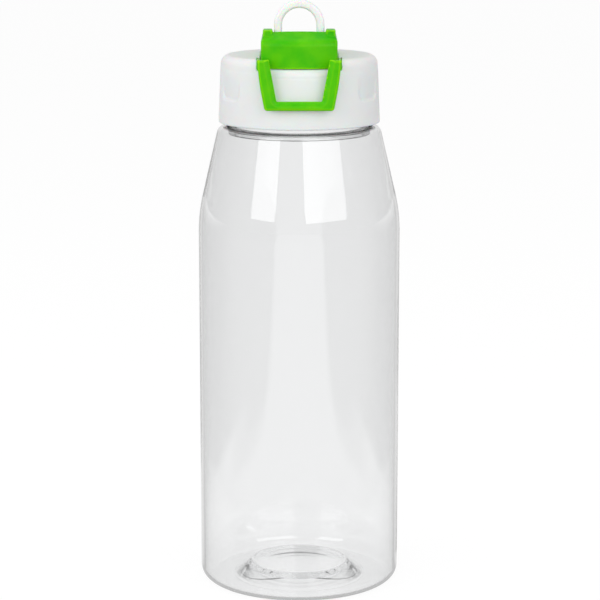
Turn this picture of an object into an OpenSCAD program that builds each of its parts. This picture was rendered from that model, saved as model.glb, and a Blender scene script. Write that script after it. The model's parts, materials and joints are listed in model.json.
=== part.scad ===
/* [Bottle] */
// Outside radius of the straight wall
body_r = 36.5; // [35:0.5:38]
// Height where the shoulder starts to curve in
shoulder_z = 130; // [110:1:132]
// Height of the top of the shoulder
shelf_z = 168.6; // [168.2:0.1:168.8]
// Slope of the shoulder from the vertical, degrees
shoulder_slope = 13.1; // [12:0.1:14]
// Thickness of the bottle's wall
wall = 1.4; // [1.2:0.1:2]
// Radius of the rounded corner at the base
base_round = 5; // [4:0.5:6]
// Height of the pushed-up base at its centre
punt_h = 4.2; // [3.2:0.1:5]

/* [Neck and thread] */
// Outside radius of the neck
neck_r = 24; // [23.8:0.1:24]
// Height of the neck's rim
rim_z = 187.3; // [187:0.1:187.3]
// Rise of the lid in one turn
thread_lead = 8; // [7.6:0.1:8]
// Length of each of the two threads, degrees
thread_sweep = 270; // [200:10:280]

/* [Lid] */
// Outside radius of the skirt at its bottom edge
skirt_bottom_r = 29; // [28.8:0.1:29.2]
// Outside radius of the skirt just under the deck
skirt_top_r = 28; // [27.9:0.1:28.2]
// Height of the skirt's bottom edge
skirt_z = 169.9; // [169.8:0.1:170.2]
// Height of the deck
deck_z = 194.1; // [193.7:0.1:194.3]
// Depth of the finger scoops
scoop_depth = 0.7; // [0.4:0.1:0.8]

/* [Flip cap] */
// Half width of the cap
cap_half_w = 13.4; // [13:0.1:13.4]
// Height of the crest in front of the loop's pocket
cap_top_z = 203.9; // [203.4:0.1:204.1]
// Height of the cap's rear hinge axis
hinge_z = 196.6; // [196.5:0.1:196.8]
// Distance of the cap's hinge axis behind the bottle's axis
hinge_y = 15; // [14.8:0.1:15.2]

/* [Lock bail] */
// Half width of the bail at its top
bail_top_half = 14.75; // [14.6:0.05:14.75]
// Half width of the bail at its bottom bar
bail_bottom_half = 12.05; // [11.5:0.05:13]
// Height of the bar's underside
bail_bottom_z = 177; // [176:0.5:178]
// Height of the bar
bar_h = 3.2; // [2.6:0.1:3.4]

/* [Carry loop] */
// Outside radius of the loop
loop_r = 8.85; // [8.6:0.05:8.9]
// Thickness of the loop's ring
loop_t = 2.85; // [2.4:0.05:3]
// Height of the loop's top edge
loop_top_z = 214.6; // [213.5:0.1:215]

/* [Hidden] */
$fn = 96;

over = 1;                                  // how far a cutter runs past the face it cuts
clear_green = [0.46, 0.83, 0.08];
clear_grey = [0.85, 0.88, 0.9, 0.45];

// bottle
blend_r = 60;                              // radius of the soft bend into the shoulder
shelf_round = 3;                           // outer rounding of the shoulder's top
bend_drop = blend_r * (1 - cos(shoulder_slope));
bend_end_z = shoulder_z + blend_r * sin(shoulder_slope);
bead_r = 25.4;
bead_top_z = 169.4;
bead_slope_h = 0.8;                        // height of the bead's sloping top
neck_bore_r = neck_r - wall;
foot_inner_r = 29.5;
punt_edge = [17.5, 2.9];                   // edge of the pushed-up part
punt_foot = [24, 0.35];                    // foot of the slope round it
ring_t = 3;                                // thickness at the edge of the pushed-up part
centre_t = 2.2;                            // thickness at the middle of the base
floor_t = 1.2;                             // thickness of the base at the foot
crown_t = 0.6;                             // thickness of the shoulder's top
neck_foot_r = 25.4;                        // the neck's thick lower end
neck_foot_z = 165.6;
skirt_chamfer = 0.6;
fit = 0.15;                                // clearance of a fixed part in its seat
side_gap = 0.3;                            // gap beside a moving part
root = 0.5;                                // how far a part runs into the one it grows from
drill_h = 5;
far = 40;                                  // beyond any part

// thread: both ridges follow one helix, the collar's ridge a little below the neck's
thread_step = 10;                          // degrees between two sections
fade_step = 0.45;                          // share of its height a ridge gains in each section
fade_start = 0.1;
ridge_h = 1.1;
collar_gap = 0.3;                          // radial clearance over a ridge
neck_crest_r = neck_r + ridge_h;
collar_bore_r = neck_crest_r + collar_gap;
collar_crest_r = neck_r + collar_gap;
collar_r = 26.6;
ridge_root_half = 1.1;
ridge_crest_half = 0.5;
ridge_bury = 0.3;
ridge_gap = 1.54;                          // axial distance between the two ridges
thread_z = 177.2;
collar_bottom_z = 171.4;
gasket_gap = 0.1;

// lid
ceiling_z = rim_z + 1.7;
skirt_bore_r = 26.7;
deck_round = 3;
front_round = 2.4;
recess_z = 190.9;
recess_half_w = cap_half_w + side_gap;
recess_rear_y = 12.9;
slot_half_w = bail_top_half + fit;
slot_z = 190.4;
slot_rear_y = -12.9;
scoop_half_w = 6.5;
scoop_round = 3.2;
scoop_low_z = 178.6;
scoop_high_z = 187.5;
post_in = 9;
post_out = 12.4;
knuckle_r = 2.3;
pin_r = 1;
run = 0.05;                                // radial clearance of a turning fit
catch_half_w = 6;
catch_y = -28.95;                          // front of the catch rib
catch_root_y = -27.2;                      // inside the skirt
catch_top_z = 186;
catch_face = [182.2, 181.2];               // the rib's upright front
catch_low_z = 180.6;

// spout and valve
spout_y = -8;
spout_r = 9;
spout_bore_r = 6.5;
spout_top_z = 197.7;
flange_r = 12;
flange_t = 1.5;
washer_t = 0.8;
lip_t = 0.45;                              // collar of the spout that rests on the recess floor
lip_top = 1.2;
spout_round = 0.7;
washer_fit = 0.2;
flange_lip = 0.4;                          // how far the flange runs past its washer
valve_y = 8.8;
valve_stem_r = 1.2;
valve_dome_r = 3.5;
valve_dome_h = 2;
valve_barb_r = 1.8;
valve_barb_h = 1.3;
air_hole_r = 0.5;
air_hole_x = 2.2;

// seal of the cap
plug_gap = 0.3;
disc_gap = 0.3;
plug_h = 2.4;
plug_taper = [0.6, 0.8];                   // radial and axial size of the plug's lead-in

// cap
cap_bottom_z = recess_z + fit;
cap_front_r = 26.6;
cap_rear_y = 12.4;
cap_wall = 1.5;
brow_z = 200.5;                            // top of the upright front face
brow_r = 20.6;                             // where the sloping brow meets the crest
ear_half_w = 12.65;
ear_gap_half = 9.35;
ear_top_z = 204.3;
ear_front_y = -21.6;
ear_rear_y = -14.4;
pocket_z = 200.5;
pocket_front_y = -20.2;
pocket_front_round = 35;
pocket_rear_y = -4.5;
cap_ceiling_z = 199.2;
rear_top_z = 201.6;
rear_rise = 0.2;                           // how much higher the rear top is beside the pocket
rear_bend_y = 7;                           // where the top starts to fall towards the hinge
plateau_y = -12;                           // behind here the top falls from the crest's height
shoulder_low_z = 200.8;
shoulder_high_z = 201.7;

// bail
bail_y = -15;
bail_z = 192.4;
bail_pin_r = 0.7;
pin_head_t = 0.7;
pin_head_lip = 0.45;
bail_boss_r = 1.35;
frame_front_y = -31.8;
frame_back_y = -29.3;
frame_top_z = 194.7;
arm_in = 13.7;
arm_slope_y = [-23, -24.5];                // where the arm's top edge rises to the frame
arm_step = 0.6;
bail_hole_end = 14.4;                      // the pivot holes are blind
window_top_half = 10.6;
window_bottom_half = 7.9;

// loop
loop_y = -17.5;
loop_z = 202.2;
loop_pin_r = 0.7;
loop_arc_z = loop_top_z - loop_r;
loop_boss_r = 1.45;
loop_pin_in = loop_r - loop_t + 0.2;       // inner end of a pin, just short of the leg's inner face

// points on an arc, from angle a to angle b
function arc(c, r, a, b, n) =
    [for (i = [0:n]) c + r * [cos(a + (b - a) * i / n), sin(a + (b - a) * i / n)]];

// the shoulder's side line at a distance t inside the outer surface
function shoulder_x(z, t) =
    body_r - bend_drop - (z - bend_end_z) * tan(shoulder_slope) - t / cos(shoulder_slope);

// ridge of a thread: a helical polyhedron that fades out at both ends
module ridge(root_r, crest_r, z0, from) {
    n = thread_sweep / thread_step;
    fade = function (i) min(1, fade_start + fade_step * min(i, n - i));
    ring = function (i) let (a = from + i * thread_step, z = z0 + thread_lead * i * thread_step / 360,
                             c = root_r + (crest_r - root_r) * fade(i))
        [for (p = [[root_r, -ridge_root_half], [c, -ridge_crest_half],
                   [c, ridge_crest_half], [root_r, ridge_root_half]])
            [p[0] * cos(a), p[0] * sin(a), z + p[1]]];
    points = [for (i = [0:n]) each ring(i)];
    sides = [for (i = [0:n - 1], k = [0:3]) each
        [[4 * i + k, 4 * i + (k + 1) % 4, 4 * (i + 1) + k],
         [4 * i + (k + 1) % 4, 4 * (i + 1) + (k + 1) % 4, 4 * (i + 1) + k]]];
    ends = [[3, 2, 1, 0], [4 * n, 4 * n + 1, 4 * n + 2, 4 * n + 3]];
    faces = concat(sides, ends);
    reversed = [for (f = faces) [for (i = [len(f) - 1:-1:0]) f[i]]];
    polyhedron(points, crest_r > root_r ? faces : reversed);
}

module two_ridges(root_r, crest_r, z0)
    for (from = [0, 180]) ridge(root_r, crest_r, z0, from);

module bottle_profile() {
    outer = concat(
        [[0, punt_h]],
        [for (k = [1 / 3, 2 / 3]) [k * punt_edge[0], punt_h - (punt_h - punt_edge[1]) * k * k]],
        [punt_edge, punt_foot, [foot_inner_r, 0]],
        arc([body_r - base_round, base_round], base_round, -90, 0, 10),
        arc([body_r - blend_r, shoulder_z], blend_r, 0, shoulder_slope, 8),
        arc([shoulder_x(shelf_z - shelf_round, shelf_round), shelf_z - shelf_round], shelf_round,
            shoulder_slope, 90, 6),
        [[bead_r, shelf_z], [bead_r, bead_top_z], [neck_r, bead_top_z + bead_slope_h], [neck_r, rim_z]]);
    inner = concat(
        [[neck_bore_r, rim_z], [neck_bore_r, neck_foot_z], [neck_foot_r, neck_foot_z],
         [neck_foot_r, shelf_z - crown_t]],
        arc([shoulder_x(shelf_z - shelf_round, shelf_round), shelf_z - shelf_round], shelf_round - crown_t,
            90, shoulder_slope, 5),
        arc([body_r - blend_r, shoulder_z], blend_r - wall, shoulder_slope, 0, 8),
        arc([body_r - base_round, base_round + floor_t - wall], base_round - wall, 0, -90, 6),
        [[foot_inner_r, floor_t], punt_foot + [0, floor_t], punt_edge + [0, ring_t],
         [0, punt_h + centre_t]]);
    polygon(concat(outer, inner));
}

module bottle_body() {
    color(clear_grey) {
        rotate_extrude() bottle_profile();
        two_ridges(neck_r - ridge_bury, neck_crest_r, thread_z);
    }
}

module lid_profile() {
    polygon(concat(
        [[0, deck_z]],
        arc([skirt_top_r - deck_round, deck_z - deck_round], deck_round, 90, 0, 8),
        [[skirt_bottom_r, skirt_z + skirt_chamfer], [skirt_bottom_r - skirt_chamfer, skirt_z],
         [skirt_bore_r, skirt_z],
         [skirt_bore_r, ceiling_z], [0, ceiling_z]]));
}

// a block between two heights, open to the front of the lid
module front_cut(half_w, rear_y, z)
    translate([-half_w, -skirt_bottom_r - over, z])
        cube([2 * half_w, rear_y + skirt_bottom_r + over, deck_z - z + over]);

// ring that takes the sharp corner off the recess floor's front edge
module front_edge_cut() {
    r = skirt_top_r + fit;
    rotate_extrude() difference() {
        translate([r - front_round, recess_z - front_round])
            square([front_round + over, front_round + over]);
        translate([r - front_round, recess_z - front_round]) circle(r = front_round);
    }
}

module scoop(angle) {
    tilt = atan(scoop_depth / (scoop_high_z - scoop_low_z));
    mid_r = skirt_top_r + (skirt_bottom_r - skirt_top_r) * (deck_z - scoop_low_z) / (deck_z - skirt_z);
    rotate([0, 0, angle]) translate([0, -mid_r + scoop_depth, scoop_low_z])
        rotate([90 + tilt, 0, 0]) linear_extrude(drill_h) {
            for (side = [-1, 1])
                translate([side * (scoop_half_w - scoop_round), scoop_round]) circle(r = scoop_round);
            translate([scoop_round - scoop_half_w, 0])
                square([2 * (scoop_half_w - scoop_round), scoop_round]);
            translate([-scoop_half_w, scoop_round]) square([2 * scoop_half_w, scoop_high_z - scoop_low_z]);
        }
}

module lid_shell() {
    color("white") difference() {
        union() {
            rotate_extrude() lid_profile();
            for (side = [-1, 1]) hinge_post(side);
            catch_rib();
        }
        front_cut(recess_half_w, recess_rear_y, recess_z);
        for (side = [-1, 1]) translate([side * (slot_half_w + cap_half_w) / 2, 0, 0])
            front_cut((slot_half_w - cap_half_w) / 2, slot_rear_y, slot_z);
        intersection() {
            front_edge_cut();
            front_cut(recess_half_w, 0, recess_z - front_round);
        }
        for (angle = [-120, -60, 60, 120]) scoop(angle);
        translate([0, spout_y, ceiling_z - over]) cylinder(r = spout_r + fit, h = drill_h);
        translate([0, valve_y, ceiling_z - over]) cylinder(r = valve_stem_r, h = drill_h);
        for (side = [-1, 1]) translate([side * air_hole_x, valve_y, ceiling_z - over])
            cylinder(r = air_hole_r, h = drill_h);
        translate([-post_out - over, hinge_y, hinge_z]) rotate([0, 90, 0])
            cylinder(r = pin_r, h = 2 * (post_out + over));
    }
}

module hinge_post(side)
    translate([side * (post_in + post_out) / 2, hinge_y, 0]) rotate([90, 0, 90])
        translate([0, 0, -(post_out - post_in) / 2]) linear_extrude(post_out - post_in) {
            translate([0, hinge_z]) circle(r = knuckle_r);
            translate([-knuckle_r, deck_z - root]) square([2 * knuckle_r, hinge_z - deck_z + root]);
        }

// low ramp on the skirt that the bail's bar snaps over
module catch_rib()
    translate([-catch_half_w, 0, 0]) rotate([90, 0, 90]) linear_extrude(2 * catch_half_w)
        polygon([[catch_root_y, catch_top_z], [catch_y, catch_face[0]], [catch_y, catch_face[1]],
                 [catch_root_y, catch_low_z]]);

module thread_collar() {
    color("gainsboro") {
        difference() {
            translate([0, 0, collar_bottom_z]) cylinder(r = collar_r, h = ceiling_z - collar_bottom_z);
            translate([0, 0, collar_bottom_z - over])
                cylinder(r = collar_bore_r, h = ceiling_z - collar_bottom_z + 2 * over);
        }
        two_ridges(collar_bore_r + ridge_bury, collar_crest_r, thread_z - ridge_gap);
    }
}

module ring(outer_r, inner_r, z, h)
    translate([0, 0, z]) difference() {
        cylinder(r = outer_r, h = h);
        translate([0, 0, -over]) cylinder(r = inner_r, h = h + 2 * over);
    }

module lid_gasket()
    color("whitesmoke")
        ring(collar_bore_r - gasket_gap, neck_bore_r + washer_fit, rim_z, ceiling_z - rim_z);

module spout() {
    flange_z = ceiling_z - washer_t - flange_t;
    color("whitesmoke") translate([0, spout_y, 0]) rotate_extrude()
        polygon(concat(
            [[spout_bore_r, flange_z], [flange_r, flange_z], [flange_r, flange_z + flange_t],
             [spout_r, flange_z + flange_t], [spout_r, recess_z + run], [spout_r + lip_t, recess_z + run],
             [spout_r, recess_z + lip_top]],
            arc([spout_r - spout_round, spout_top_z - spout_round], spout_round, 0, 90, 5),
            [[spout_bore_r, spout_top_z]]));
}

module spout_gasket()
    color("lightgray") translate([0, spout_y, 0])
        ring(flange_r - flange_lip, spout_r + washer_fit, ceiling_z - washer_t, washer_t);

// umbrella valve: dome under the ceiling, stem through it, barb on top
module vent_valve()
    color("lightgray") translate([0, valve_y, 0]) rotate_extrude()
        polygon(concat(
            [for (a = [-90:15:0]) [valve_dome_r * cos(a), ceiling_z + valve_dome_h * sin(a)]],
            [[valve_stem_r - run, ceiling_z], [valve_stem_r - run, recess_z], [valve_barb_r, recess_z],
             [valve_stem_r, recess_z + valve_barb_h], [0, recess_z + valve_barb_h]]));

// solid of the cap without its pocket, ears and hollow
module cap_block() {
    intersection() {
        rotate_extrude() polygon([[0, cap_bottom_z], [cap_front_r, cap_bottom_z], [cap_front_r, brow_z],
                                  [brow_r, cap_top_z], [0, cap_top_z]]);
        rotate([90, 0, 0]) linear_extrude(2 * far, center = true)
            polygon([[-cap_half_w, cap_bottom_z], [cap_half_w, cap_bottom_z], [cap_half_w, shoulder_low_z],
                     [ear_half_w, shoulder_high_z], [ear_half_w, ear_top_z], [-ear_half_w, ear_top_z],
                     [-ear_half_w, shoulder_high_z], [-cap_half_w, shoulder_low_z]]);
        rotate([90, 0, 90]) linear_extrude(2 * far, center = true)
            polygon([[-far, cap_bottom_z], [-far, cap_top_z + over], [plateau_y, cap_top_z + over],
                     [plateau_y, cap_top_z], [pocket_rear_y, rear_top_z + rear_rise],
                     [rear_bend_y, rear_top_z], [cap_rear_y, hinge_z + knuckle_r],
                     [cap_rear_y, cap_bottom_z]]);
    }
}

module cap_pocket()
    translate([0, 0, pocket_z]) linear_extrude(far) intersection() {
        translate([-ear_gap_half, -far]) square([2 * ear_gap_half, far + pocket_rear_y]);
        translate([0, pocket_front_y + pocket_front_round]) circle(r = pocket_front_round);
    }

module cap_hollow()
    translate([0, 0, cap_bottom_z - over])
    linear_extrude(cap_ceiling_z - cap_bottom_z + over) intersection() {
        translate([-cap_half_w + cap_wall, -far])
            square([2 * (cap_half_w - cap_wall), far + cap_rear_y - cap_wall]);
        circle(r = cap_front_r - cap_wall);
    }

module cap_knuckle() {
    half = post_in - side_gap;
    rotate([90, 0, 90]) linear_extrude(2 * half, center = true) {
        translate([hinge_y, hinge_z]) circle(r = knuckle_r);
        translate([cap_rear_y - root, hinge_z - knuckle_r])
            square([hinge_y - cap_rear_y + root, 2 * knuckle_r]);
    }
}

module cross_bore(y, z, r, half)
    translate([-half, y, z]) rotate([0, 90, 0]) cylinder(r = r, h = 2 * half);

module flip_cap() {
    color(clear_green) difference() {
        union() {
            cap_block();
            for (side = [-1, 1]) translate([side * (ear_gap_half + ear_half_w) / 2, 0, 0])
                translate([-(ear_half_w - ear_gap_half) / 2, ear_front_y, shoulder_low_z])
                    cube([ear_half_w - ear_gap_half, ear_rear_y - ear_front_y, ear_top_z - shoulder_low_z]);
            cap_knuckle();
        }
        cap_pocket();
        cap_hollow();
        cross_bore(hinge_y, hinge_z, pin_r + run, far);
        cross_bore(bail_y, bail_z, bail_pin_r, far);
        cross_bore(loop_y, loop_z, loop_pin_r, far);
    }
}

// silicone disc under the cap's ceiling, with a plug that enters the spout
module spout_seal() {
    plug_r = spout_bore_r - plug_gap;
    disc_r = spout_r - washer_fit;
    disc_z = spout_top_z + disc_gap;
    color("white") translate([0, spout_y, 0]) rotate_extrude()
        polygon([[0, cap_ceiling_z], [disc_r, cap_ceiling_z], [disc_r, disc_z], [plug_r, disc_z],
                 [plug_r, disc_z - plug_h + plug_taper[1]], [plug_r - plug_taper[0], disc_z - plug_h],
                 [0, disc_z - plug_h]]);
}

module hinge_pin()
    color("silver") cross_bore(hinge_y, hinge_z, pin_r, post_out);

module lock_bail() {
    window_z = bail_bottom_z + bar_h;
    color([0.55, 0.88, 0.12]) difference() {
        union() {
            translate([0, frame_back_y, 0]) rotate([90, 0, 0]) linear_extrude(frame_back_y - frame_front_y)
                polygon([[-bail_top_half, frame_top_z], [-bail_top_half, bail_z - bail_boss_r],
                         [-bail_bottom_half, bail_bottom_z], [bail_bottom_half, bail_bottom_z],
                         [bail_top_half, bail_z - bail_boss_r], [bail_top_half, frame_top_z],
                         [window_top_half, frame_top_z], [window_bottom_half, window_z],
                         [-window_bottom_half, window_z], [-window_top_half, frame_top_z]]);
            for (side = [-1, 1]) translate([side * (arm_in + bail_top_half) / 2, 0, 0])
                rotate([90, 0, 90]) linear_extrude(bail_top_half - arm_in, center = true) {
                    translate([bail_y, bail_z]) circle(r = bail_boss_r);
                    polygon([[bail_y, bail_z - bail_boss_r], [bail_y, bail_z + bail_boss_r],
                             [arm_slope_y[0], frame_top_z - arm_step], [arm_slope_y[1], frame_top_z],
                             [frame_back_y - root, frame_top_z],
                             [frame_back_y - root, bail_z - bail_boss_r]]);
                }
        }
        cross_bore(bail_y, bail_z, bail_pin_r + run, bail_hole_end);
    }
}

module bail_pin(side)
    color("silver") translate([0, bail_y, bail_z]) rotate([0, side * 90, 0]) {
        head_x = cap_half_w - cap_wall;
        translate([0, 0, head_x - pin_head_t]) cylinder(r = bail_pin_r + pin_head_lip, h = pin_head_t);
        translate([0, 0, head_x]) cylinder(r = bail_pin_r, h = bail_hole_end - run - head_x);
    }

module bail_pin_left() bail_pin(-1);
module bail_pin_right() bail_pin(1);

module carry_loop() {
    leg_h = loop_arc_z - loop_z + loop_boss_r;
    color([0.95, 0.95, 0.95]) difference() {
        intersection() {
            translate([0, loop_y, 0]) rotate([90, 0, 0]) linear_extrude(loop_t, center = true) difference() {
                union() {
                    translate([0, loop_arc_z]) circle(r = loop_r);
                    translate([-loop_r, loop_arc_z - leg_h]) square([2 * loop_r, leg_h]);
                }
                translate([0, loop_arc_z]) circle(r = loop_r - loop_t);
                translate([-loop_r + loop_t, loop_arc_z - leg_h - over])
                    square([2 * (loop_r - loop_t), leg_h + over]);
            }
            rotate([90, 0, 90]) linear_extrude(2 * loop_r + over, center = true) {
                translate([loop_y, loop_z]) circle(r = loop_boss_r);
                translate([loop_y - loop_boss_r, loop_z]) square([2 * loop_boss_r, loop_top_z - loop_z]);
            }
        }
        cross_bore(loop_y, loop_z, loop_pin_r + run, far);
    }
}

module loop_pin(side)
    color("silver") translate([0, loop_y, loop_z]) rotate([0, side * 90, 0])
        translate([0, 0, loop_pin_in]) cylinder(r = loop_pin_r, h = ear_half_w - loop_pin_in);

module loop_pin_left() loop_pin(-1);
module loop_pin_right() loop_pin(1);

bottle_body();
lid_shell();
thread_collar();
lid_gasket();
spout();
spout_gasket();
vent_valve();
flip_cap();
spout_seal();
hinge_pin();
lock_bail();
bail_pin_left();
bail_pin_right();
carry_loop();
loop_pin_left();
loop_pin_right();
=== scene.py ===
"""Clear drinking bottle with a white screw lid, a green flip cap, a lock bail and a carry loop."""
import json
import math

import bmesh
import bpy
import numpy as np
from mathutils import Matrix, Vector


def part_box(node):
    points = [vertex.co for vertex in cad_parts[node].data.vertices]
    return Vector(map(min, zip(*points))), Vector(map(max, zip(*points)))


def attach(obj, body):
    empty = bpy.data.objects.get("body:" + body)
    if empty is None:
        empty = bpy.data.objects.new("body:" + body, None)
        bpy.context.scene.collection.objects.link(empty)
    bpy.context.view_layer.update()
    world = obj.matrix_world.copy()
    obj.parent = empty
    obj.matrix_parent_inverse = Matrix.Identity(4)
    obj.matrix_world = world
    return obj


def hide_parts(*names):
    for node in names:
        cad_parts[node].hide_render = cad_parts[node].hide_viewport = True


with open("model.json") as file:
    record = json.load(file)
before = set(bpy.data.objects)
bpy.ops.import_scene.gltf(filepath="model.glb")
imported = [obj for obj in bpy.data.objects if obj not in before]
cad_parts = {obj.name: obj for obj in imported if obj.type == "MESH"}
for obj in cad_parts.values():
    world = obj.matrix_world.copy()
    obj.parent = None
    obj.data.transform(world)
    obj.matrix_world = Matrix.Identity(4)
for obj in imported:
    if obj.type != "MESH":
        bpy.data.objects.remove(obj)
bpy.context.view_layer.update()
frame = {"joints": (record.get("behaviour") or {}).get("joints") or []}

MM = 0.001
SCENE = bpy.context.scene


# ---------------------------------------- sizes, in millimetres, from the frame
def mm_box(node):
    lo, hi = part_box(node)
    return lo / MM, hi / MM


def joint_at(name):
    row = next(j for j in frame["joints"] if j["name"] == name)
    return Vector(row["pos_m"]) / MM


bottle_hi = mm_box("bottle_body")[1]
lid_lo, lid_hi = mm_box("lid_shell")
collar_lo, collar_hi = mm_box("thread_collar")
gasket_lo, gasket_hi = mm_box("lid_gasket")
spout_lo, spout_hi = mm_box("spout")
washer_lo, washer_hi = mm_box("spout_gasket")
valve_lo, valve_hi = mm_box("vent_valve")
cap_lo, cap_hi = mm_box("flip_cap")
seal_lo, seal_hi = mm_box("spout_seal")
bail_lo, bail_hi = mm_box("lock_bail")
loop_lo, loop_hi = mm_box("carry_loop")
HINGE = joint_at("cap_hinge")
BAIL_PIVOT = joint_at("bail_swing")
LOOP_PIVOT = joint_at("loop_swing")

# bottle
BODY_R = bottle_hi.x
RIM_Z = bottle_hi.z
WALL = 1.4
NECK_R = 24.0
NECK_BORE = NECK_R - WALL
SHELF_Z, SHELF_ROUND = 168.6, 3.0
CROWN_T = 0.6
CROWN_Z, CROWN_ROUND = SHELF_Z - CROWN_T, SHELF_ROUND - CROWN_T
BEAD_R = 25.4
BEAD_TOP = SHELF_Z + 0.8
SHOULDER_Z = 130.0
SHOULDER_SLOPE = math.radians(13.1)
BEND_R = 60.0
BASE_ROUND = 5.0
FOOT_IN = 29.5
PUNT_R, PUNT_EDGE_Z, PUNT_TOP = 17.5, 2.9, 4.2
SLOPE_R, SLOPE_Z = 24.0, 0.35
FLOOR_T, RING_T, CENTRE_T = 1.2, 3.0, 2.2
NECK_FOOT_R, NECK_FOOT_Z = 25.4, 165.6

# thread
LEAD = 8.0
SWEEP, FADE = 270.0, 22.0
STARTS = (0.0, 180.0)
THREAD_Z = 177.2
RIDGE_H = 1.1
RIDGE_ROOT, RIDGE_CREST = 1.1, 0.5
THREAD_STEP = 0.25
COLLAR_BORE = NECK_R + RIDGE_H + 0.3
COLLAR_DROP = 1.54

# lid
SKIRT_R = lid_hi.x
SKIRT_TOP_R = SKIRT_R - 1.0
SKIRT_Z = lid_lo.z
DECK_Z = HINGE.z - 2.5
DECK_ROUND, FRONT_ROUND = 3.0, 2.4
CEILING_Z = gasket_hi.z
SKIRT_BORE = collar_hi.x + 0.1
FLOOR_Z = cap_lo.z - 0.15
SIDE_SLOPE = (SKIRT_R - SKIRT_TOP_R) / (DECK_Z - SKIRT_Z)
RECESS_HALF = cap_hi.x + 0.3
RECESS_REAR = HINGE.y - 2.1
SLOT_HALF = bail_hi.x + 0.15
SLOT_Z = FLOOR_Z - 0.5
SLOT_REAR = BAIL_PIVOT.y + 2.1
RECESS_UNDERCUT = 3.2
KNUCKLE_R = 2.3
POST_IN, POST_OUT = 9.0, 12.4
RIB_HALF, RIB_ROOT_Y, RIB_FACE_Y = 5.8, -27.2, -28.95
RIB_TOP_Z, RIB_FACE_TOP_Z, RIB_FACE_LOW_Z, RIB_LOW_Z = 186, 182.0, 181.4, 180.7
LID_PIN_BORE, CAP_PIN_BORE, PIVOT_BORE = 1.0, 1.05, 0.75

# spout
SPOUT_Y = (spout_lo.y + spout_hi.y) / 2
SPOUT_FLANGE_T, SPOUT_FLANGE_W = 1.5, 3
SPOUT_R, SPOUT_BORE = spout_hi.x - SPOUT_FLANGE_W, 6.5
SPOUT_HOLE_LOW = 185

# cap
CAP_HALF = cap_hi.x
CAP_LOW = cap_lo.z
CAP_FRONT = -cap_lo.y
CAP_REAR = HINGE.y - 2.6
CAP_WALL = 1.5
BROW_Z, CREST_Z, CREST_R, CREST_REAR = 200.5, 203.9, 20.6, -12
EAR_TOP, EAR_FOOT = cap_hi.z, 200
EAR_IN, EAR_OUT = 9.35, 12.65
EAR_FRONT, EAR_REAR = -21.6, -14.4
FLARE_Z = 200.8
POCKET_Z, POCKET_FRONT, POCKET_REAR, POCKET_ROUND = 200.5, -20.2, -4.5, 35
CAP_CEILING = seal_hi.z
REAR_TOP, REAR_BEND = 201.6, 7.0


# ---------------------------------------- mesh tools
def smoothstep(t):
    t = np.clip(t, 0, 1)
    return t * t * (3 - 2 * t)


def new_piece(name, vertices, faces, normals=None):
    """A mesh object from points in millimetres; normals, if given, are one for each vertex."""
    mesh = bpy.data.meshes.new(name)
    mesh.from_pydata((np.asarray(vertices) * MM).tolist(), [], faces)
    mesh.polygons.foreach_set("use_smooth", [True] * len(mesh.polygons))
    if normals is not None:
        mesh.normals_split_custom_set_from_vertices(normals.tolist())
    mesh.update()
    piece = bpy.data.objects.new(name, mesh)
    SCENE.collection.objects.link(piece)
    return piece


def fillet(outline, radii, steps=5):
    """outline's corners rounded; radii holds one radius for each point, 0 to keep it."""
    out = []
    n = len(outline)
    for i, (corner, radius) in enumerate(zip(outline, radii)):
        c = Vector(corner)
        if radius <= 0:
            out.append((c.x, c.y))
            continue
        a, b = Vector(outline[i - 1]) - c, Vector(outline[(i + 1) % n]) - c
        half = a.angle(b) / 2
        reach = min(radius / math.tan(half), a.length * 0.49, b.length * 0.49)
        start, end = c + a.normalized() * reach, c + b.normalized() * reach
        centre = c + (a.normalized() + b.normalized()).normalized() * (reach / math.cos(half))
        for k in range(steps + 1):
            t = k / steps
            p = start.lerp(end, t) - centre
            out.append(tuple(centre + p.normalized() * (start - centre).length))
    return out


def arc(cx, cz, radius, start, end, steps):
    """Points on an arc between two angles in radians."""
    return [(cx + radius * math.cos(start + (end - start) * k / steps),
             cz + radius * math.sin(start + (end - start) * k / steps)) for k in range(steps + 1)]


def densify(outline, gap):
    """outline with its long straight stretches cut into steps of at most gap."""
    out = []
    for a, b in zip(outline, outline[1:] + outline[:1]):
        n = max(1, math.ceil(math.dist(a, b) / gap))
        out += [(a[0] + (b[0] - a[0]) * k / n, a[1] + (b[1] - a[1]) * k / n) for k in range(n)]
    return out


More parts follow.
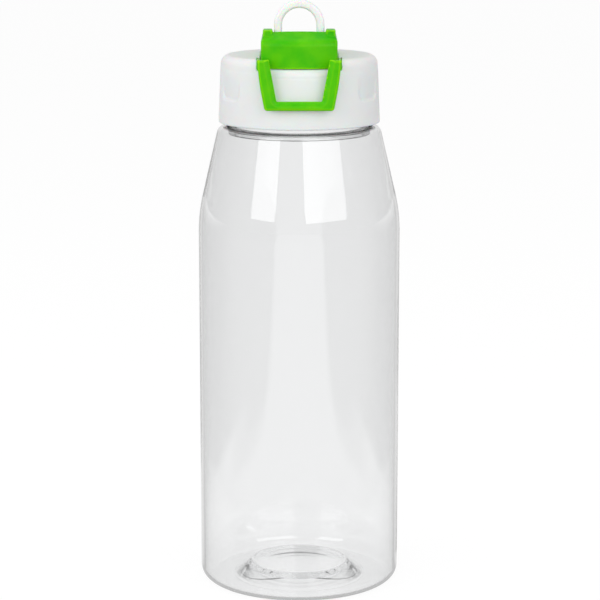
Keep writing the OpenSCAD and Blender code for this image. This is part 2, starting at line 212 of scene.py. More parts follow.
def lathe(name, outline, segments, centre=(0, 0), shape=None):
    """A closed outline of (radius, z) turned about a vertical axis. shape(angle, r, z) may change r.
    An outline that starts and ends on the axis closes there, and any other makes a ring."""
    on_axis = outline[0][0] < 1e-6 and outline[-1][0] < 1e-6
    rows = outline[1:-1] if on_axis else outline
    r = np.array([p[0] for p in rows])[:, None]
    z = np.array([p[1] for p in rows])[:, None]
    angle = np.linspace(0, 2 * np.pi, segments, endpoint=False)[None, :]
    z = z + 0 * angle
    r = r + 0 * angle
    if shape:
        r = shape(angle + 0 * r, r, z)
    points = np.stack([r * np.cos(angle) + centre[0], r * np.sin(angle) + centre[1], z], -1)
    points = points.reshape(-1, 3)
    n = len(rows)
    i, j = np.meshgrid(np.arange(n - 1 if on_axis else n), np.arange(segments), indexing="ij")
    up, right = (i + 1) % n, (j + 1) % segments
    quads = np.stack([i * segments + j, i * segments + right,
                      up * segments + right, up * segments + j], -1)
    faces = quads.reshape(-1, 4).tolist()
    if on_axis:
        first, last = len(points), len(points) + 1
        points = np.vstack([points, [[*centre, outline[0][1]], [*centre, outline[-1][1]]]])
        end = (n - 1) * segments
        faces += [[first, (k + 1) % segments, k] for k in range(segments)]
        faces += [[last, end + k, end + (k + 1) % segments] for k in range(segments)]
    piece = new_piece(name, points, faces)
    work = bmesh.new()
    work.from_mesh(piece.data)
    bmesh.ops.recalc_face_normals(work, faces=work.faces)
    work.to_mesh(piece.data)
    work.free()
    return piece


# signed distances: negative inside, in millimetres
def both(a, b, r=0.0):
    """Where a and b overlap, its edge rounded to radius r."""
    if r <= 0:
        return np.maximum(a, b)
    return np.minimum(-r, np.maximum(a, b)) + np.hypot(np.maximum(a + r, 0), np.maximum(b + r, 0))


def either(a, b, r=0.0):
    """a and b together, the corner between them filled to radius r."""
    if r <= 0:
        return np.minimum(a, b)
    return np.maximum(r, np.minimum(a, b)) - np.hypot(np.maximum(r - a, 0), np.maximum(r - b, 0))


def less(a, b, r=0.0):
    return both(a, -b, r)


def between(u, low, high):
    """Where u lies between low and high."""
    return np.abs(u - (high + low) / 2) - (high - low) / 2


def line2(u, v, p, q):
    """Signed distance to the line through p and q in a plane, positive on its right."""
    dx, dy = q[0] - p[0], q[1] - p[1]
    return ((u - p[0]) * dy - (v - p[1]) * dx) / math.hypot(dx, dy)


def sculpt(name, shape, lo, hi, step):
    """Mesh of the surface shape(x, y, z) = 0 between two corners: one vertex in each grid cell that
    the surface crosses, moved onto it, with the shape's own normals."""
    axes = [np.arange(a - 2 * step, b + 2.5 * step, step) for a, b in zip(lo, hi)]
    d = shape(*np.meshgrid(*axes, indexing="ij", sparse=True))
    d = np.broadcast_to(d, [len(a) for a in axes])
    cells = [n - 1 for n in d.shape]
    total = np.zeros(cells + [3])
    count = np.zeros(cells)
    corner = lambda o: d[o[0]:o[0] + cells[0], o[1]:o[1] + cells[1], o[2]:o[2] + cells[2]]
    for axis in range(3):
        others = [k for k in range(3) if k != axis]
        for s in (0, 1):
            for t in (0, 1):
                start = [0, 0, 0]
                start[others[0]], start[others[1]] = s, t
                end = list(start)
                end[axis] = 1
                da, db = corner(start), corner(end)
                cut = (da < 0) != (db < 0)
                share = np.where(cut, da / np.where(cut, da - db, 1), 0)
                total[..., axis] += np.where(cut, share, 0)
                total[..., others[0]] += np.where(cut, s, 0)
                total[..., others[1]] += np.where(cut, t, 0)
                count += cut
    used = count > 0
    index = np.full(cells, -1)
    index[used] = np.arange(used.sum())
    where = np.argwhere(used)
    origin = np.array([a[0] for a in axes])
    points = origin + (where + total[used] / count[used][:, None]) * step
    start_points = points.copy()
    small = 0.01

    def slope(p):
        g = np.stack([shape(*(p + small * e).T) - shape(*(p - small * e).T) for e in np.eye(3)], -1)
        return g / (2 * small)

    rounds, one_move, all_moves, flattest = 3, 0.3 * step, 0.7 * step, 0.2
    for _ in range(rounds):
        g = slope(points)
        move = shape(*points.T)[:, None] * g / np.maximum((g * g).sum(1), flattest)[:, None]
        points = points - np.clip(move, -one_move, one_move)
    points = np.clip(points, start_points - all_moves, start_points + all_moves)
    faces = []
    for axis in range(3):
        u, v = [(1, 2), (2, 0), (0, 1)][axis]
        a = np.moveaxis(d, (axis, u, v), (0, 1, 2))
        ids = np.moveaxis(index, (axis, u, v), (0, 1, 2))
        sign = a < 0
        change = sign[:-1, 1:-1, 1:-1] != sign[1:, 1:-1, 1:-1]
        i, j, k = np.nonzero(change)
        quad = np.stack([ids[i, j, k], ids[i, j + 1, k],
                         ids[i, j + 1, k + 1], ids[i, j, k + 1]], -1)
        outward = sign[i, j + 1, k + 1]
        faces.append(np.where(outward[:, None], quad, quad[:, ::-1]))
    normals = slope(points)
    normals /= np.linalg.norm(normals, axis=1)[:, None]
    return new_piece(name, points, np.concatenate(faces).tolist(), normals)


# ---------------------------------------- materials
def material(name, colour, roughness, **sockets):
    made = bpy.data.materials.new(name)
    made.use_nodes = True
    shader = made.node_tree.nodes["Principled BSDF"]
    shader.inputs["Base Color"].default_value = (*colour, 1)
    shader.inputs["Roughness"].default_value = roughness
    for key, value in sockets.items():
        shader.inputs[key.replace("_", " ")].default_value = value
    return made, made.node_tree, shader


def noise(tree, scale, detail, stretch=(1, 1, 1)):
    """A noise texture over the object's own coordinates."""
    coords = tree.nodes.new("ShaderNodeTexCoord")
    mapping = tree.nodes.new("ShaderNodeMapping")
    mapping.inputs["Scale"].default_value = stretch
    tex = tree.nodes.new("ShaderNodeTexNoise")
    tex.inputs["Scale"].default_value = scale
    tex.inputs["Detail"].default_value = detail
    tree.links.new(coords.outputs["Object"], mapping.inputs["Vector"])
    tree.links.new(mapping.outputs["Vector"], tex.inputs["Vector"])
    return tex.outputs["Fac"]


def ramp(tree, fac, low, high, start=0.3, end=0.7):
    node = tree.nodes.new("ShaderNodeValToRGB")
    node.color_ramp.elements[0].position = start
    node.color_ramp.elements[1].position = end
    node.color_ramp.elements[0].color = (*low, 1)
    node.color_ramp.elements[1].color = (*high, 1)
    tree.links.new(fac, node.inputs["Fac"])
    return node.outputs["Color"]


def grey(v):
    return (v, v, v)


def bump(tree, shader, height, strength, distance):
    node = tree.nodes.new("ShaderNodeBump")
    node.inputs["Strength"].default_value = strength
    node.inputs["Distance"].default_value = distance
    tree.links.new(height, node.inputs["Height"])
    tree.links.new(node.outputs["Normal"], shader.inputs["Normal"])


def moulded(name, colour, shade, roughness, clouds=55.0, edge=None, **sockets):
    """Moulded plastic: faint flow clouds in the colour, a fine satin grain and uneven gloss. Sharp
    outer edges may take a paler colour: a painted highlight where their bevels would catch the light."""
    made, tree, shader = material(name, colour, roughness, **sockets)
    tone = ramp(tree, noise(tree, clouds, 4.0), colour, shade, 0.35, 0.75)
    # edge colour: a painted highlight, paler colour laid on sharp convex edges by their pointiness
    if edge:
        blend = tree.nodes.new("ShaderNodeMix")
        blend.data_type = "RGBA"
        shape = tree.nodes.new("ShaderNodeNewGeometry")
        painted_edge_highlight = ramp(tree, shape.outputs["Pointiness"], grey(0.0), grey(1.0), 0.505, 0.54)
        tree.links.new(painted_edge_highlight, blend.inputs["Factor"])
        tree.links.new(tone, blend.inputs["A"])
        blend.inputs["B"].default_value = (*edge, 1)
        tone = blend.outputs["Result"]
    tree.links.new(tone, shader.inputs["Base Color"])
    gloss = ramp(tree, noise(tree, 300.0, 5.0), grey(roughness * 0.85), grey(roughness * 1.2))
    tree.links.new(gloss, shader.inputs["Roughness"])
    bump(tree, shader, noise(tree, 2600.0, 2.0), 0.25, 0.00002)
    return made


def clear_plastic():
    """Blown clear plastic: faint long waves in the wall and a trace of fine scuffs."""
    made, tree, shader = material("clear_wall", (0.965, 0.968, 0.97), 0.0,
                                  Transmission_Weight=1.0, IOR=1.54)
    scuffs = ramp(tree, noise(tree, 900.0, 6.0, (1, 1, 0.2)), grey(0.0), grey(0.035), 0.55, 0.9)
    tree.links.new(scuffs, shader.inputs["Roughness"])
    bump(tree, shader, noise(tree, 26.0, 1.0, (1, 1, 0.35)), 0.12, 0.0006)
    return made


def steel():
    made, tree, shader = material("pin_steel", (0.62, 0.63, 0.64), 0.28, Metallic=1.0)
    lines = noise(tree, 900.0, 3.0, (0.05, 1, 1))
    tree.links.new(ramp(tree, lines, grey(0.2), grey(0.4)), shader.inputs["Roughness"])
    bump(tree, shader, lines, 0.2, 0.00002)
    return made


def silicone():
    made, tree, shader = material("silicone", (0.86, 0.87, 0.86), 0.45, Transmission_Weight=0.15,
                                  Subsurface_Weight=0.4, Subsurface_Scale=0.002)
    tree.links.new(ramp(tree, noise(tree, 160.0, 4.0), (0.83, 0.84, 0.83), (0.9, 0.9, 0.89)),
                   shader.inputs["Base Color"])
    bump(tree, shader, noise(tree, 1800.0, 2.0), 0.2, 0.00003)
    return made


CLEAR = clear_plastic()
WHITE = moulded("lid_white", (0.83, 0.83, 0.83), (0.80, 0.80, 0.80), 0.34, Subsurface_Weight=0.3,
                Subsurface_Scale=0.004)
INNER = moulded("inner_white", (0.74, 0.75, 0.75), (0.70, 0.71, 0.71), 0.42)
GREEN_SHEEN = {"Subsurface_Weight": 0.25, "Subsurface_Scale": 0.0015, "Specular_IOR_Level": 0.12}
# the edge colours of the cap and bail greens are painted highlights on their sharp edges
CAP_GREEN = moulded("cap_green", (0.10, 0.54, 0.001), (0.02, 0.43, 0.001), 0.36, clouds=130.0,
                    edge=(0.2, 0.66, 0.001), **GREEN_SHEEN)
BAIL_GREEN = moulded("bail_green", (0.1, 0.55, 0.001), (0.05, 0.49, 0.001), 0.33, clouds=160.0,
                     edge=(0.25, 0.7, 0.001), **GREEN_SHEEN)
LOOP_WHITE = moulded("loop_white", (0.87, 0.87, 0.865), (0.84, 0.84, 0.83), 0.3, clouds=150.0,
                     Subsurface_Weight=0.6, Subsurface_Scale=0.003)
STEEL = steel()
SILICONE = silicone()


def dress(piece, made, body, node):
    """The piece takes its material, rides its body and stands in for its CAD node."""
    piece.data.materials.clear()
    piece.data.materials.append(made)
    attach(piece, body)
    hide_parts(node)


# ---------------------------------------- bottle
def ridge_height(angle, z, low_z):
    """How far the two-start thread stands out at an angle in radians and a height, from 0 to 1."""
    best = np.zeros(np.broadcast(angle, z).shape)
    for start in STARTS:
        turned = np.degrees(angle) - start
        for lap in (-360.0, 0.0, 360.0):
            along = turned + lap
            inside = (along >= 0) & (along <= SWEEP)
            off = np.abs(z - low_z - LEAD * along / 360)
            height = smoothstep((RIDGE_ROOT - off) / (RIDGE_ROOT - RIDGE_CREST))
            fade = smoothstep(np.minimum(along, SWEEP - along) / FADE)
            best = np.maximum(best, np.where(inside, height * fade, 0))
    return best


def shoulder_r(z, inset):
    """Radius of the sloping shoulder at a height, a distance inset inside the outer surface."""
    drop = BEND_R * (1 - math.cos(SHOULDER_SLOPE))
    end_z = SHOULDER_Z + BEND_R * math.sin(SHOULDER_SLOPE)
    slant = (z - end_z) * math.tan(SHOULDER_SLOPE)
    return BODY_R - drop - slant - inset / math.cos(SHOULDER_SLOPE)


def bottle_outline():
    """Outer wall from the base's centre up to the rim, then the inner wall back down."""
    def dome(r, edge_z, centre_z):
        return r, centre_z - (centre_z - edge_z) * (r / PUNT_R) ** 2

    punt = [dome(r, PUNT_EDGE_Z, PUNT_TOP) for r in np.linspace(0, PUNT_R - 2, 12)]
    quarter = math.pi / 2
    foot = fillet([punt[-1], (PUNT_R, PUNT_EDGE_Z), (SLOPE_R, SLOPE_Z), (FOOT_IN, 0.05),
                   (BODY_R - BASE_ROUND, 0.0)], [0, 1.5, 1.5, 0.5, 0], 10)
    corner = arc(BODY_R - BASE_ROUND, BASE_ROUND, BASE_ROUND, -quarter, 0, 14)
    bend = arc(BODY_R - BEND_R, SHOULDER_Z, BEND_R, 0, SHOULDER_SLOPE, 16)
    top = arc(shoulder_r(SHELF_Z - SHELF_ROUND, SHELF_ROUND), SHELF_Z - SHELF_ROUND, SHELF_ROUND,
              SHOULDER_SLOPE, quarter, 10)
    shelf = fillet([top[-1], (BEAD_R, SHELF_Z), (BEAD_R, BEAD_TOP), (NECK_R, BEAD_TOP + 0.8),
                    (NECK_R, RIM_Z), (NECK_BORE, RIM_Z), (NECK_BORE, NECK_FOOT_Z),
                    (NECK_FOOT_R, NECK_FOOT_Z), (NECK_FOOT_R, CROWN_Z),
                    (NECK_FOOT_R + 1.2, CROWN_Z)],
                   [0, 0.4, 0.4, 0.6, 0.5, 0.5, 0.4, 0.4, 0.4, 0], 6)[:-1]
    crown = arc(shoulder_r(CROWN_Z - CROWN_ROUND, SHELF_ROUND), CROWN_Z - CROWN_ROUND, CROWN_ROUND,
                quarter, SHOULDER_SLOPE, 8)
    neck_low = next(i for i, p in enumerate(shelf) if p[0] <= NECK_R + 0.02)
    neck_high = next(i for i, p in enumerate(shelf) if p[1] > RIM_Z - 0.6)
    neck = densify(shelf[neck_low:neck_high + 1], THREAD_STEP)
    neck = [p for p in neck if p[1] <= shelf[neck_high][1]]
    inner_bend = arc(BODY_R - BEND_R, SHOULDER_Z, BEND_R - WALL, SHOULDER_SLOPE, 0, 16)
    inner_corner = arc(BODY_R - BASE_ROUND, BASE_ROUND + FLOOR_T - WALL, BASE_ROUND - WALL,
                       0, -quarter, 12)
    inner_punt = [dome(r, PUNT_EDGE_Z + RING_T, PUNT_TOP + CENTRE_T)
                  for r in np.linspace(PUNT_R - 3, 0, 12)]
    floor = fillet([inner_corner[-1], (FOOT_IN, FLOOR_T), (SLOPE_R, SLOPE_Z + FLOOR_T),
                    (PUNT_R, PUNT_EDGE_Z + RING_T), inner_punt[0]], [0, 2.5, 2.5, 2.5, 0], 12)[1:-1]
    return (punt[:-1] + foot[:-1] + corner + bend + top[:-1] + shelf[:neck_low] + neck[:-1]
            + shelf[neck_high + 1:] + crown + inner_bend + inner_corner + floor + inner_punt)


def make_bottle():
    def threaded(angle, r, z):
        on_neck = (np.abs(r - NECK_R) < 0.05) & (z > BEAD_TOP + 0.8) & (z < RIM_Z - 0.4)
        return r + np.where(on_neck, RIDGE_H * ridge_height(angle, z, THREAD_Z), 0)

    piece = lathe("clear_bottle", bottle_outline(), 256, shape=threaded)
    dress(piece, CLEAR, "bottle", "bottle_body")


# ---------------------------------------- lid
def side_r(z):
    return SKIRT_R - (z - SKIRT_Z) * SIDE_SLOPE


def scoop_sink(x, y, z):
    """Depth of the finger scoops at a point of the skirt: deepest over a soft ledge, fading upwards."""
    low, high, half, corner, depth, ledge = 178.4, 187.5, 6.7, 3.2, 0.75, 1.7
    total = 0
    for angle in (-120, -60, 60, 120):
        turn = np.arctan2(x, -y) - math.radians(angle)
        across = SKIRT_TOP_R * np.abs(np.arctan2(np.sin(turn), np.cos(turn)))
        edge = both(across - half, low - z, corner)
        total = total + depth * np.clip((high - z) / (high - low), 0, 1) * smoothstep(-edge / ledge)
    return total


def lid_shape(x, y, z):
    rho = np.hypot(x, y)
    side = (rho - side_r(z) + scoop_sink(x, y, z)) / math.hypot(1, SIDE_SLOPE)
    full = both(side, z - DECK_Z, DECK_ROUND)
    cut = both(both(np.abs(x) - RECESS_HALF, y - RECESS_REAR, 2.0), FLOOR_Z - RECESS_UNDERCUT - z)
    deck = less(full, cut, 0.45)
    low_front = both(side, z - FLOOR_Z, FRONT_ROUND)
    solid = either(deck, low_front, 0.25)
    slot = between(np.abs(x), CAP_HALF, SLOT_HALF)
    slot = both(both(slot, y - SLOT_REAR), SLOT_Z - z)
    solid = less(solid, slot, 0.1)
    rib_top = -line2(y, z, (RIB_ROOT_Y, RIB_TOP_Z), (RIB_FACE_Y, RIB_FACE_TOP_Z))
    rib_low = -line2(y, z, (RIB_FACE_Y, RIB_FACE_LOW_Z), (RIB_ROOT_Y, RIB_LOW_Z))
    rib = both(both(np.abs(x) - RIB_HALF, rib_top, 0.3), both(rib_low, RIB_FACE_Y - y, 0.2), 0.3)
    solid = either(solid, both(rib, rho - SKIRT_R - 0.4), 0.5)
    post = np.hypot(y - HINGE.y, z - HINGE.z) - KNUCKLE_R
    post = either(post, both(np.abs(y - HINGE.y) - KNUCKLE_R, np.abs(z - HINGE.z + 2.5) - 2.5))
    post = both(post, between(np.abs(x), POST_IN, POST_OUT), 0.4)
    solid = either(solid, post, 0.5)
    solid = both(solid, SKIRT_Z - z, 0.5)
    hollow = both(rho - SKIRT_BORE, z - CEILING_Z, 0.6)
    solid = less(solid, hollow, 0.25)
    spout_hole = np.hypot(x, y - SPOUT_Y) - (SPOUT_R + 0.15)
    solid = less(solid, both(spout_hole, SPOUT_HOLE_LOW - z))
    pin_bore = np.hypot(y - HINGE.y, z - HINGE.z) - LID_PIN_BORE
    return less(solid, pin_bore)


def make_lid():
    piece = sculpt("lid_outer", lid_shape, lid_lo, lid_hi, 0.4)
    dress(piece, WHITE, "lid", "lid_shell")


def make_collar():
    def threaded(angle, r, z):
        inside = np.abs(r - COLLAR_BORE) < 0.05
        return r - np.where(inside, RIDGE_H * ridge_height(angle, z, THREAD_Z - COLLAR_DROP), 0)

    low, high = collar_lo.z, collar_hi.z
    outer = collar_hi.x
    outline = fillet([(COLLAR_BORE, high), (COLLAR_BORE, low), (outer, low), (outer, high)],
                     [0, 0.3, 0.3, 0], 3)
    outline = densify(outline, THREAD_STEP)
    piece = lathe("lid_collar", outline, 180, shape=threaded)
    dress(piece, INNER, "lid", "thread_collar")


def make_seals_and_spout():
    outer, inner = gasket_hi.x, NECK_BORE + 0.2
    low, high = gasket_lo.z, gasket_hi.z
    ring = fillet([(inner, low), (outer, low), (outer, high), (inner, high)], [0.4] * 4, 4)
    dress(lathe("rim_gasket", ring, 120), SILICONE, "lid_seal", "lid_gasket")

    flange, tube, bore = spout_hi.x, SPOUT_R, SPOUT_BORE
    low, high, flange_top = spout_lo.z, spout_hi.z, spout_lo.z + SPOUT_FLANGE_T
    profile = fillet([(bore, low), (flange, low), (flange, flange_top), (tube, flange_top),
                      (tube, FLOOR_Z + 0.05), (tube + 0.45, FLOOR_Z + 0.05), (tube, FLOOR_Z + 1.2),
                      (tube, high), (bore, high)],
                     [0.5, 0.5, 0.3, 0.1, 0.05, 0.15, 0.3, 1.0, 0.7], 5)
    dress(lathe("drink_spout", profile, 96, (0, SPOUT_Y)), INNER, "lid", "spout")

    low, high = washer_lo.z, washer_hi.z
    outer, inner = washer_hi.x, tube + 0.2
    ring = fillet([(inner, low), (outer, low), (outer, high), (inner, high)], [0.25] * 4, 3)
    washer = lathe("spout_washer", ring, 80, (0, SPOUT_Y))
    dress(washer, SILICONE, "lid", "spout_gasket")

    low, high = valve_lo.z, valve_hi.z
    stem = 1.15
    dome_r, dome_h = valve_hi.x, CEILING_Z - low
    dome = [(dome_r * math.cos(a), CEILING_Z + dome_h * math.sin(a))
            for a in np.linspace(-math.pi / 2, 0, 12)]
    profile = dome[:-1] + fillet([dome[-1], (stem, CEILING_Z), (stem, FLOOR_Z), (1.8, FLOOR_Z),
                                  (1.2, high), (0, high)], [0, 0.1, 0.1, 0.3, 0.3, 0], 4)
    centre = (0, (valve_lo.y + valve_hi.y) / 2)
    dress(lathe("air_valve", profile, 64, centre), SILICONE, "lid", "vent_valve")

    low, high = seal_lo.z, seal_hi.z
    disc_z, plug = high - 1.2, bore - 0.3
    profile = fillet([(0, low), (plug - 0.6, low), (plug, low + 0.8), (plug, disc_z),
                      (seal_hi.x, disc_z), (seal_hi.x, high), (0, high)],
                     [0, 0.4, 0.4, 0.3, 0.4, 0.2, 0], 5)
    dress(lathe("spout_plug", profile, 80, (0, SPOUT_Y)), SILICONE, "cap", "spout_seal")


def make_pin(name, node, body):
    """A drawn pin with rounded ends along X, as big as its CAD node. The bail's pins have a head at
    their inner end."""
    lo, hi = mm_box(node)
    y, z, r = (lo.y + hi.y) / 2, (lo.z + hi.z) / 2, (hi.z - lo.z) / 2
    head_t, shank_r = 0.7, r - 0.45

    def shape(x, py, pz):
        radial = np.hypot(py - y, pz - z)
        length = between(x, lo.x, hi.x)
        if "bail" not in node:
            return both(radial - r, length, 0.25)
        inner = lo.x if lo.x > 0 else hi.x
        head = both(radial - r, np.abs(x - inner) - head_t, 0.25)
        shank = both(radial - shank_r, length, 0.2)
        return both(either(head, shank), length)

    piece = sculpt(name, shape, lo, hi, 0.16)
    dress(piece, STEEL, body, node)


# ---------------------------------------- flip cap
def cap_shape(x, y, z):
    rho = np.hypot(x, y)
    ax = np.abs(x)
    rise = (CREST_Z - BROW_Z) / (CAP_FRONT - CREST_R)
    brow = ((z - BROW_Z) + rise * (rho - CAP_FRONT)) / math.hypot(1, rise)
    block = both(rho - CAP_FRONT, brow, 1.6)
    flare = ((z - FLARE_Z) * 0.75 + (ax - CAP_HALF) * 0.9) / 1.17
    low_side = both(ax - CAP_HALF, flare, 0.5)
    sides = either(low_side, ax - EAR_OUT, 0.3)
    block = both(block, sides, 0.7)
    rear_slope = line2(y, z, (REAR_BEND, REAR_TOP), (POCKET_REAR, REAR_TOP + 0.2))
    rear_top = np.maximum(z - CREST_Z, np.minimum(rear_slope, y - CREST_REAR))
    rear_fall = line2(y, z, (CAP_REAR, HINGE.z + KNUCKLE_R), (REAR_BEND, REAR_TOP))
    rear_top = both(rear_top, rear_fall, 1.0)
    block = both(block, rear_top, 0.5)
    block = both(block, y - CAP_REAR, 1.0)
    ear = both(between(ax, EAR_IN, EAR_OUT), between(y, EAR_FRONT, EAR_REAR), 0.5)
    ear = both(ear, both(z - EAR_TOP, EAR_FOOT - z), 0.45)
    block = either(block, ear, 0.5)
    arm = both(np.hypot(y - HINGE.y, z - HINGE.z) - KNUCKLE_R, ax - POST_IN + 0.3, 0.3)
    bridge = np.abs(y - (CAP_REAR + HINGE.y) / 2 + 0.3) - 1.8
    bridge = both(both(np.abs(z - HINGE.z) - KNUCKLE_R, bridge), ax - POST_IN + 0.3, 0.3)
    block = either(block, either(arm, bridge), 0.3)
    front_wall = np.hypot(x, y - POCKET_FRONT - POCKET_ROUND) - POCKET_ROUND
    pocket = both(both(ax - EAR_IN, y - POCKET_REAR, 0.8), both(front_wall, POCKET_Z - z, 0.5), 0.5)
    block = less(block, pocket, 0.45)
    block = both(block, CAP_LOW - z, 0.3)
    hollow = both(ax - CAP_HALF + CAP_WALL, y - CAP_REAR + CAP_WALL, 1.5)
    hollow = both(hollow, rho - CAP_FRONT + CAP_WALL, 1.5)
    block = less(block, both(hollow, z - CAP_CEILING, 0.6), 0.25)
    pin_bore = np.hypot(y - HINGE.y, z - HINGE.z) - CAP_PIN_BORE
    return less(block, pin_bore)


def make_cap():
    piece = sculpt("green_cap", cap_shape, cap_lo, cap_hi, 0.3)
    dress(piece, CAP_GREEN, "cap", "flip_cap")


# ---------------------------------------- lock bail
BAIL_LOW, BAR_H, BAIL_TOP = bail_lo.z, 3.2, bail_hi.z
BAIL_FRONT, BAIL_BACK = bail_lo.y, bail_lo.y + 2.5
BAIL_OUT_TOP, BAIL_OUT_LOW = bail_hi.x, 12.05
WINDOW_TOP, WINDOW_LOW = 10.6, 7.9
ARM_IN, ARM_BEND_Y = CAP_HALF + 0.3, -23
BOSS_R = 1.35
PIVOT_SKIN = 0.35
BEVEL = 1.2


def bail_shape(x, y, z):
    ax = np.abs(x)
    taper = line2(ax, z, (BAIL_OUT_LOW, BAIL_LOW), (BAIL_OUT_TOP, BAIL_PIVOT.z - BOSS_R))
    outer = both(both(taper, ax - BAIL_OUT_TOP, 1.5), both(z - BAIL_TOP, BAIL_LOW - z), 0.9)
    window = line2(ax, z, (WINDOW_LOW, BAIL_LOW + BAR_H), (WINDOW_TOP, BAIL_TOP))
    window = both(window, BAIL_LOW + BAR_H - z, 0.4) - np.clip(BAIL_FRONT + BEVEL - y, 0, BEVEL)
    ring = less(outer, window, 0.25)
    front = both(ring, between(y, BAIL_FRONT, BAIL_BACK), 0.9)
    top = line2(y, z, (BAIL_PIVOT.y, BAIL_PIVOT.z + BOSS_R), (ARM_BEND_Y, BAIL_TOP - 0.6))
    top = np.maximum(top, z - BAIL_TOP)
    plate = both(y - BAIL_PIVOT.y, BAIL_BACK - 1.5 - y)
    plate = both(both(top, BAIL_PIVOT.z - BOSS_R - z, 0.3), plate, 0.2)
    from_pivot = np.hypot(y - BAIL_PIVOT.y, z - BAIL_PIVOT.z)
    arm = either(plate, from_pivot - BOSS_R, 0.3)
    arm = both(arm, between(ax, ARM_IN, BAIL_OUT_TOP), 0.25)
    solid = either(front, arm, 0.4)
    return less(solid, both(from_pivot - PIVOT_BORE, ax - BAIL_OUT_TOP + PIVOT_SKIN))


def make_bail():
    piece = sculpt("green_bail", bail_shape, bail_lo, bail_hi, 0.25)
    dress(piece, BAIL_GREEN, "bail", "lock_bail")


# ---------------------------------------- carry loop
LOOP_T = 2.85
LOOP_R = loop_hi.x
LOOP_ARC_Z = loop_hi.z - LOOP_R
EYE_R = 1.45


def loop_shape(x, y, z):
    over = np.maximum(z - LOOP_ARC_Z, 0)
    ring = np.abs(np.hypot(x, over) - (LOOP_R - LOOP_T / 2)) - LOOP_T / 2
    slab = np.abs(y - LOOP_PIVOT.y) - LOOP_T / 2
    solid = both(ring, slab, 1.0)
    from_pivot = np.hypot(y - LOOP_PIVOT.y, z - LOOP_PIVOT.z)
    low = np.where(z < LOOP_PIVOT.z, from_pivot - EYE_R, -EYE_R + 0 * z)
    solid = both(solid, low, 0.2)
    return less(solid, from_pivot - PIVOT_BORE)


def make_loop():
    piece = sculpt("white_loop", loop_shape, loop_lo, loop_hi, 0.22)
    dress(piece, LOOP_WHITE, "loop", "carry_loop")


# ---------------------------------------- camera, lights and stage
def make_camera():
    data = bpy.data.cameras.new("camera")
    data.lens = 138.1
    data.sensor_width = 36.0
    data.shift_x = 0.0013
    camera = bpy.data.objects.new("camera", data)
    camera.location = (0, -0.827, 0.265)
    camera.rotation_euler = (math.radians(79.0), 0, 0)
    SCENE.collection.objects.link(camera)
    SCENE.camera = camera


def maths(tree, operation, *values, clamp=False):
    """A Math node; each value is a number or another node's output."""
    node = tree.nodes.new("ShaderNodeMath")
    node.operation = operation
    node.use_clamp = clamp
    for socket, value in zip(node.inputs, values):
        if isinstance(value, (int, float)):
            socket.default_value = value
        else:
            tree.links.new(value, socket)
    return node.outputs[0]


def studio_level(tree, seen, ambient, mirrored):
    """Brightness of the studio: seen straight on or through clear walls, as light on dull surfaces,
    or in a reflection. A product studio is white behind the object and dark around it."""
    path = tree.nodes.new("ShaderNodeLightPath")
    bounced = maths(tree, "MINIMUM", path.outputs["Glossy Depth"], 1.0)
    direct = maths(tree, "MAXIMUM", path.outputs["Is Camera Ray"],
                   path.outputs["Is Transmission Ray"])
    diffused = maths(tree, "ADD", bounced, path.outputs["Diffuse Depth"], clamp=True)
    straight = maths(tree, "MULTIPLY", direct, maths(tree, "SUBTRACT", 1.0, diffused))
    level = maths(tree, "MULTIPLY_ADD", straight, seen - ambient, ambient)
    extra = maths(tree, "SUBTRACT", mirrored, ambient)
    return maths(tree, "MULTIPLY_ADD", bounced, extra, level)


def mirrored_back(tree, x, y):
    """Brightness of reflections towards the rear: white straight behind, dark towards both sides."""
    squared = maths(tree, "MULTIPLY", x, x)
    rear = maths(tree, "MAXIMUM", y, 0.0)
    total = maths(tree, "MULTIPLY_ADD", y, y, maths(tree, "ADD", squared, 1e-6))
    share = maths(tree, "DIVIDE", maths(tree, "MULTIPLY", rear, rear), total)
    return maths(tree, "MULTIPLY", share, 0.8)


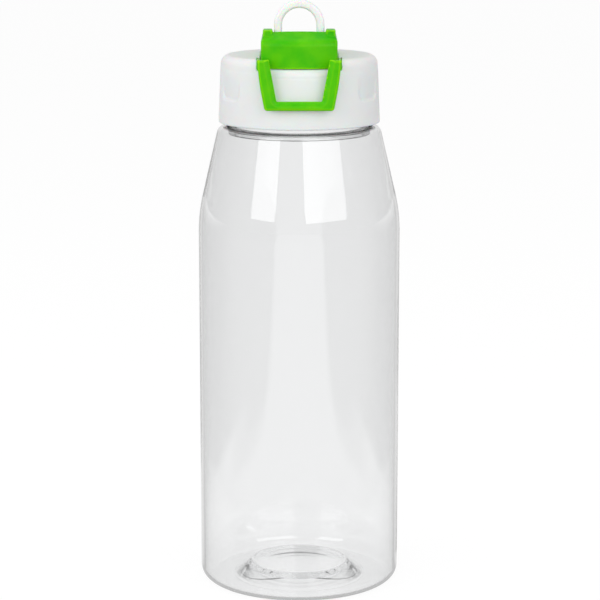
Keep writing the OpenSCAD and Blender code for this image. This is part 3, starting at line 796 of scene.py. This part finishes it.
def make_floor():
    """White sweep. Reflections show a lit strip that widens towards the front with dark sides, a
    soft glow close round the base, and a sheet of light beside and behind the bottle."""
    made, tree, shader = material("floor", grey(0.07), 0.9, Specular_IOR_Level=0.0)
    shader.inputs["Emission Color"].default_value = (1, 1, 1, 1)
    coords = tree.nodes.new("ShaderNodeTexCoord")
    place = tree.nodes.new("ShaderNodeSeparateXYZ")
    tree.links.new(coords.outputs["Object"], place.inputs["Vector"])
    x, y = place.outputs["X"], place.outputs["Y"]
    off = maths(tree, "ABSOLUTE", x)
    forward = maths(tree, "MAXIMUM", maths(tree, "MULTIPLY_ADD", y, -1.0, -0.2), 0.0)
    half = maths(tree, "MULTIPLY_ADD", forward, 0.42, 0.17)
    inside = maths(tree, "SUBTRACT", half, off)
    strip = maths(tree, "MULTIPLY_ADD", inside, 40.0, 0.5, clamp=True)
    reach = maths(tree, "SQRT", maths(tree, "MULTIPLY_ADD", y, y, maths(tree, "MULTIPLY", x, x)))
    near = maths(tree, "MULTIPLY_ADD", reach, -20.0, 2.3, clamp=True)
    near = maths(tree, "MULTIPLY", near, 0.5)
    front = maths(tree, "MAXIMUM", maths(tree, "MULTIPLY_ADD", strip, 0.4, 0.03), near)
    beside = maths(tree, "SUBTRACT", maths(tree, "MULTIPLY_ADD", off, -1.18, 0.246), y)
    beside = maths(tree, "MULTIPLY_ADD", beside, 25.0, 0.5, clamp=True)
    behind = maths(tree, "MULTIPLY_ADD", y, 16.0, 1.3, clamp=True)
    sheet = maths(tree, "MULTIPLY", maths(tree, "MULTIPLY", beside, behind), 0.5)
    aside = maths(tree, "SUBTRACT", off, BODY_R * MM, clamp=True)
    rear = maths(tree, "MAXIMUM", sheet, mirrored_back(tree, aside, y))
    mirrored = maths(tree, "MAXIMUM", front, rear)
    tree.links.new(studio_level(tree, 0.95, 0.5, mirrored), shader.inputs["Emission Strength"])
    size, corners, below = 7.0, 64, -0.0002
    mesh = bpy.data.meshes.new("floor")
    ring = [(size * math.cos(a), size * math.sin(a), below)
            for a in np.linspace(0, 2 * math.pi, corners, endpoint=False)]
    mesh.from_pydata(ring, [], [list(range(corners))])
    mesh.materials.append(made)
    floor = bpy.data.objects.new("floor", mesh)
    SCENE.collection.objects.link(floor)


def softbox(name, azimuth, elevation, size, radiance, mirrored=True):
    """A rectangular light at a bearing in degrees from the bottle's shoulder. Azimuth 0 is the front."""
    az, el = math.radians(azimuth), math.radians(elevation)
    aim, distance = Vector((0, 0, 0.15)), 1.1
    away = Vector((math.sin(az) * math.cos(el), -math.cos(az) * math.cos(el), math.sin(el)))
    data = bpy.data.lights.new(name, "AREA")
    data.shape = "RECTANGLE"
    data.size, data.size_y = size
    data.energy = radiance * size[0] * size[1] * 4
    light = bpy.data.objects.new(name, data)
    light.location = aim + away * distance
    light.rotation_euler = (-away).to_track_quat("-Z", "Y").to_euler()
    light.visible_camera = False
    light.visible_glossy = mirrored
    light.visible_transmission = mirrored
    SCENE.collection.objects.link(light)


def make_lights():
    softbox("left_box", -43, 24, (0.59, 0.71), 1.6)
    softbox("right_box", 32, 24, (1.03, 0.71), 1.45)
    softbox("left_fill", -85, 20, (0.8, 0.8), 1.35, mirrored=False)
    softbox("right_fill", 85, 20, (0.8, 0.8), 0.65, mirrored=False)
    softbox("front_fill", -8, 12, (0.7, 0.5), 1.35, mirrored=False)
    softbox("top_fill", 0, 86, (0.8, 0.8), 0.95)


def make_world():
    world = bpy.data.worlds.new("studio")
    world.use_nodes = True
    SCENE.world = world
    tree = world.node_tree
    background = tree.nodes["Background"]
    background.inputs["Color"].default_value = (1, 1, 1, 1)
    coords = tree.nodes.new("ShaderNodeTexCoord")
    ray = tree.nodes.new("ShaderNodeSeparateXYZ")
    tree.links.new(coords.outputs["Generated"], ray.inputs["Vector"])
    towards = maths(tree, "MAXIMUM", maths(tree, "MULTIPLY", ray.outputs["Y"], -1.0), 0.001)
    spread = maths(tree, "DIVIDE", maths(tree, "ABSOLUTE", ray.outputs["X"]), towards)
    front = maths(tree, "MULTIPLY_ADD", spread, -6.0, 3.6, clamp=True)
    front = maths(tree, "MULTIPLY_ADD", front, 0.22, 0.03)
    rear = mirrored_back(tree, ray.outputs["X"], ray.outputs["Y"])
    mirrored = maths(tree, "MAXIMUM", front, rear)
    tree.links.new(studio_level(tree, 1.0, 0.38, mirrored), background.inputs["Strength"])


make_camera()
make_floor()
make_lights()
make_world()
SCENE.view_settings.view_transform = "Standard"
# light crosses many faces of the clear wall
SCENE.cycles.max_bounces = 32
SCENE.cycles.glossy_bounces = 16
SCENE.cycles.transmission_bounces = 24

make_bottle()
make_lid()
make_collar()
make_seals_and_spout()
make_pin("cap_pin", "hinge_pin", "lid")
for side in ("left", "right"):
    make_pin("bail_pivot_" + side, "bail_pin_" + side, "cap")
    make_pin("loop_pivot_" + side, "loop_pin_" + side, "cap")
make_cap()
make_bail()
make_loop()
